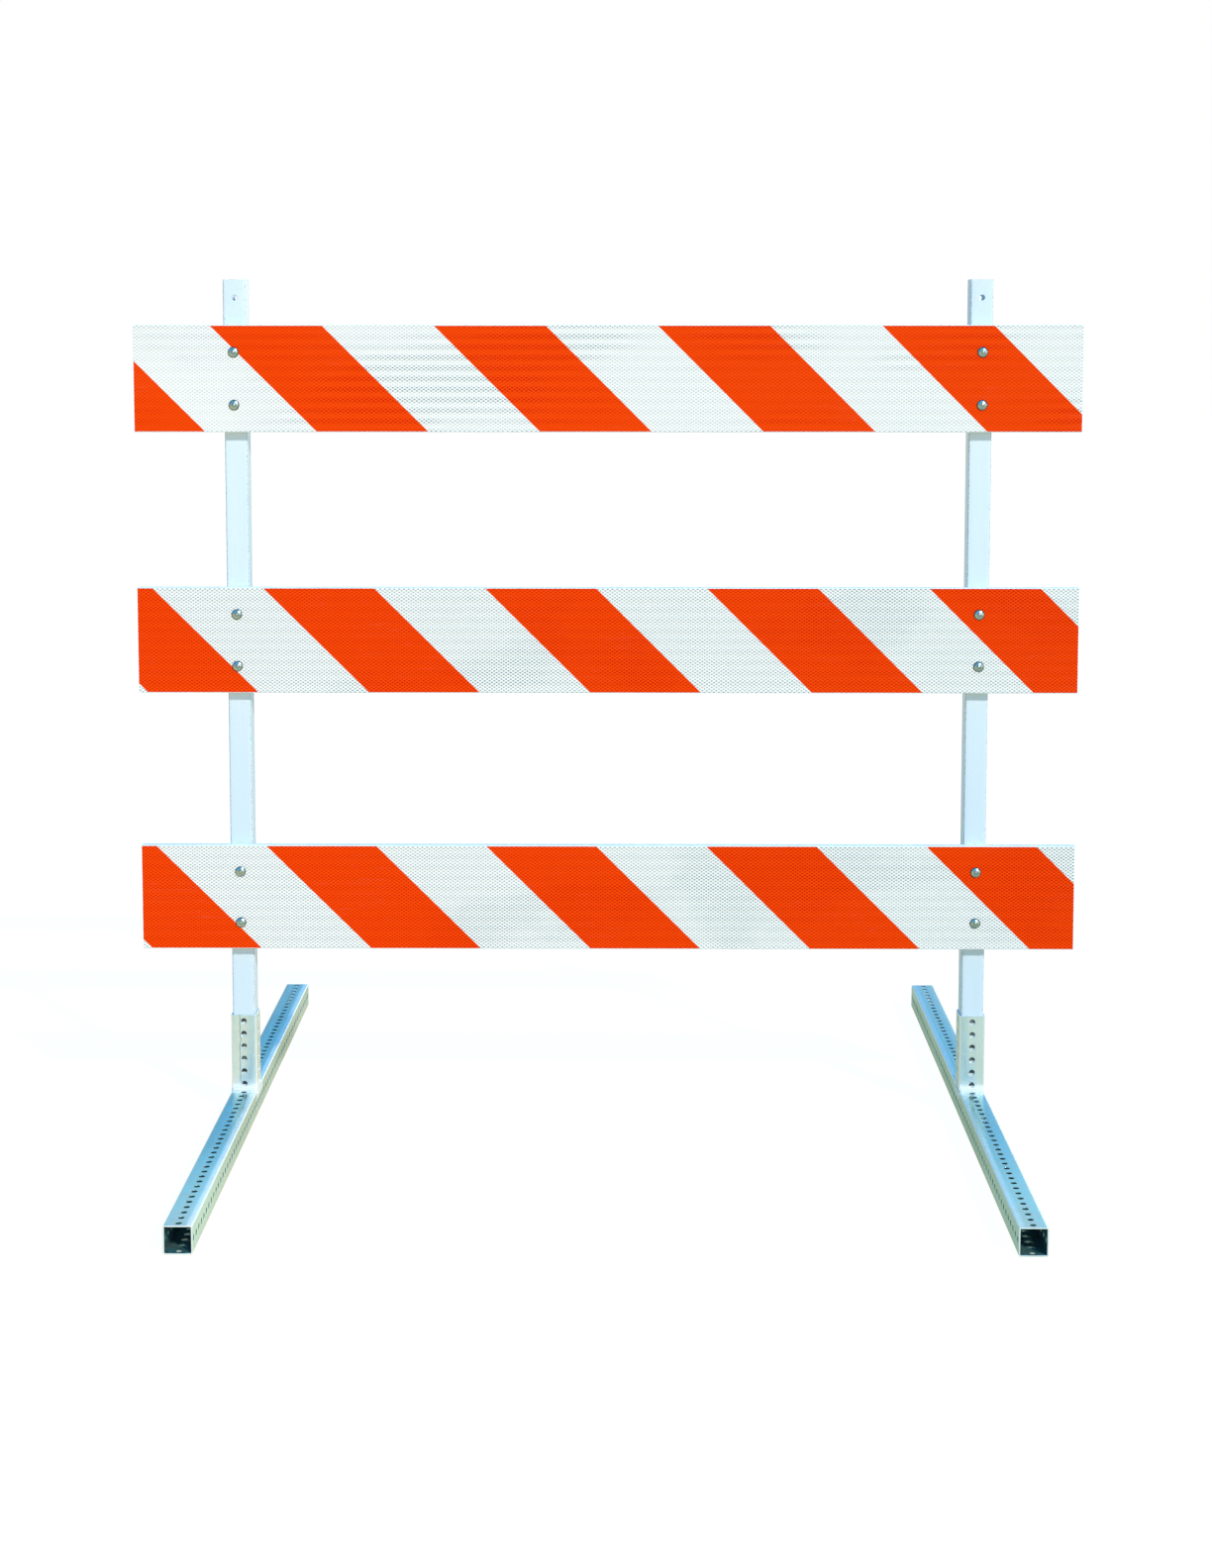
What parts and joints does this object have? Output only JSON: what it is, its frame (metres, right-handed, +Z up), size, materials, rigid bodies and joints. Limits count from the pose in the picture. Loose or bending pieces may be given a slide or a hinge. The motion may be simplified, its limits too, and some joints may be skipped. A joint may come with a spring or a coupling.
{
  "type": "type three barricade",
  "caption": "Free-standing road barricade with horizontal orange and white striped rails bolted to square posts that lift out of sockets on long perforated steel feet.",
  "frame": {"origin": "on the ground, midway between the two feet and under the middle of the uprights", "axes": "+X along the rails, +Y away from the striped faces, +Z up"},
  "size_m": [1.8288, 1.524, 1.651],
  "materials": {
    "rail_plastic": "smooth extruded white polyethylene",
    "white_sheeting": "white prismatic retroreflective film",
    "orange_sheeting": "orange prismatic retroreflective film",
    "zinc_fastener": "bright zinc plate",
    "white_paint": "cool white gloss paint on steel",
    "galvanised_steel": "galvanised, with spangle and handling marks",
    "weld_metal": "rippled weld bead under zinc-rich paint"
  },
  "bodies": {
    "left_foot": {"left_foot_tube": "galvanised_steel", "left_foot_socket": "galvanised_steel", "left_foot_weld": "weld_metal"},
    "rail_frame": {"top_rail_board": "rail_plastic", "top_rail_white_sheeting": "white_sheeting", "top_rail_orange_sheeting": "orange_sheeting", "top_rail_carriage_bolts": "zinc_fastener", "top_rail_flat_washers": "zinc_fastener", "top_rail_hex_nuts": "zinc_fastener", "middle_rail_board": "rail_plastic", "middle_rail_white_sheeting": "white_sheeting", "middle_rail_orange_sheeting": "orange_sheeting", "middle_rail_carriage_bolts": "zinc_fastener", "middle_rail_flat_washers": "zinc_fastener", "middle_rail_hex_nuts": "zinc_fastener", "bottom_rail_board": "rail_plastic", "bottom_rail_white_sheeting": "white_sheeting", "bottom_rail_orange_sheeting": "orange_sheeting", "bottom_rail_carriage_bolts": "zinc_fastener", "bottom_rail_flat_washers": "zinc_fastener", "bottom_rail_hex_nuts": "zinc_fastener", "left_upright": "white_paint", "right_upright": "white_paint"},
    "right_foot": {"right_foot_tube": "galvanised_steel", "right_foot_socket": "galvanised_steel", "right_foot_weld": "weld_metal"}
  },
  "joints": [
    {"name": "frame_lift", "type": "slide", "parent": "left_foot", "child": "rail_frame", "axis": [0, 0, 1], "range_m": [0, 0.165]},
    {"name": "right_foot_release", "type": "slide", "parent": "rail_frame", "child": "right_foot", "axis": [0, 0, -1], "range_m": [0, 0.165]}
  ],
  "couplings": [
    {"joint": "right_foot_release", "follows": "frame_lift", "ratio": 1}
  ]
}
